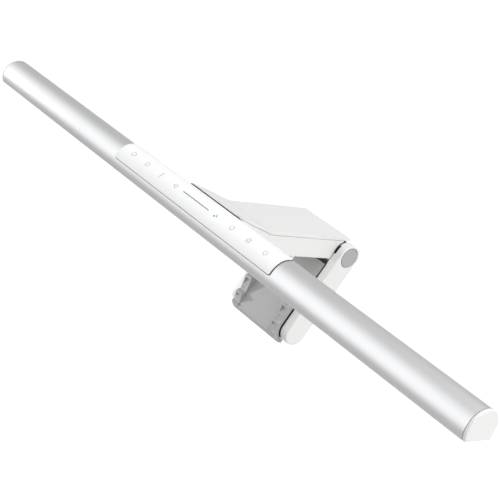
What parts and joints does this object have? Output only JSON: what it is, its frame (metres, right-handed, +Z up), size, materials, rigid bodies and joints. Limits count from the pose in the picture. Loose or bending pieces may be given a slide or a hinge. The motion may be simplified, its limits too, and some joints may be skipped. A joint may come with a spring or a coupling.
{
  "type": "monitor light bar",
  "caption": "Slim tilting LED bar with a touch panel, on an arm that hooks over a monitor and a sprung, weighted leg that grips the monitor's back.",
  "frame": {"origin": "middle of the rest pad's underside, the flat face that sits on the monitor's top edge", "axes": "+X along the bar, +Y to the back (away from the user), +Z up"},
  "size_m": [0.498, 0.1328, 0.0904],
  "materials": {
    "satin_aluminium": "fine bead-blasted, silver anodised",
    "white_plastic": "fine satin mould texture",
    "panel_white": "smooth satin with small printed touch icons",
    "opal_diffuser": "frosted",
    "circuit_board": "solder mask",
    "steel": "machined",
    "black_plastic": "fine mould texture",
    "grey_silicone": "matt silicone",
    "grey_cap": "matt disc"
  },
  "bodies": {
    "arm": {"arm_lower_shell": "white_plastic", "arm_top_cover": "white_plastic", "arm_spine": "steel", "neck_bracket": "steel", "tilt_shaft": "steel", "hinge_barrel": "black_plastic", "hinge_pin": "steel", "torsion_spring_left": "steel", "torsion_spring_right": "steel", "spine_screw_1": "steel", "spine_screw_2": "steel", "rest_pad": "grey_silicone"},
    "bar": {"bar_tube": "satin_aluminium", "end_cap_left": "white_plastic", "end_cap_right": "white_plastic", "touch_panel": "panel_white", "touch_board": "circuit_board", "front_led_strip": "circuit_board", "back_led_strip_left": "circuit_board", "back_led_strip_right": "circuit_board", "front_lens": "opal_diffuser", "back_lens_left": "opal_diffuser", "back_lens_right": "opal_diffuser", "driver_board": "circuit_board", "usb_c_inlet": "steel", "hinge_block_left": "black_plastic", "hinge_block_right": "black_plastic", "friction_barrel_left": "steel", "friction_barrel_right": "steel"},
    "leg": {"leg_housing": "white_plastic", "hinge_cap_left": "grey_cap", "hinge_cap_right": "grey_cap", "hinge_bush_left": "black_plastic", "hinge_bush_right": "black_plastic", "pad_carrier": "black_plastic", "counterweight": "steel", "carrier_screw_1": "steel", "carrier_screw_2": "steel", "carrier_screw_3": "steel", "carrier_screw_4": "steel", "grip_pad": "grey_silicone"}
  },
  "joints": [
    {"name": "bar_tilt", "type": "hinge", "parent": "arm", "child": "bar", "pos_m": [0, -0.082, 0.0136], "axis": [1, 0, 0], "range_deg": [-20, 15]},
    {"name": "leg_fold", "type": "hinge", "parent": "arm", "child": "leg", "pos_m": [0, 0.0296, 0.005], "axis": [1, 0, 0], "range_deg": [0, 75], "stiffness_Nm_per_rad": 0.15, "springref_deg": -60.16}
  ]
}
